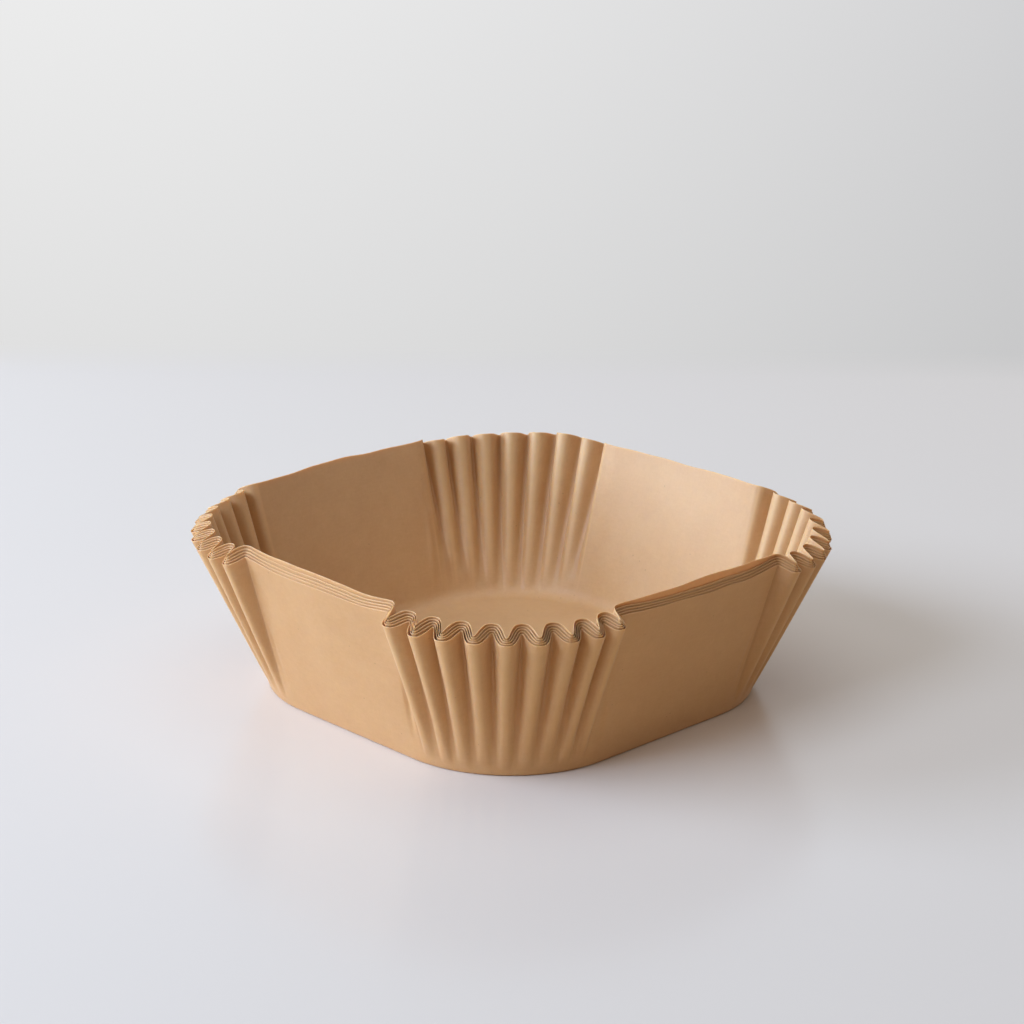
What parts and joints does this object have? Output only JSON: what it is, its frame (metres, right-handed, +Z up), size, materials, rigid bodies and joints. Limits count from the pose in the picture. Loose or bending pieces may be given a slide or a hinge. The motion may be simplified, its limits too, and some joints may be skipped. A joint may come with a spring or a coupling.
{
  "type": "stack of air fryer paper liners",
  "caption": "Nested stack of square kraft paper liners with flat floors, leaning side panels and rounded corners of vertical pleats.",
  "frame": {"origin": "middle of the outermost liner's underside, on the surface it stands on", "axes": "+Z up out of the open top, X and Y square to the four side panels"},
  "size_m": [0.2088, 0.2088, 0.0682],
  "materials": {
    "kraft_paper": "matt unbleached greaseproof paper with fine fibres and a faint mottle"
  },
  "bodies": {
    "root": {"outer_liner": "kraft_paper", "second_liner": "kraft_paper", "third_liner": "kraft_paper", "fourth_liner": "kraft_paper", "inner_liner": "kraft_paper"}
  },
  "joints": []
}
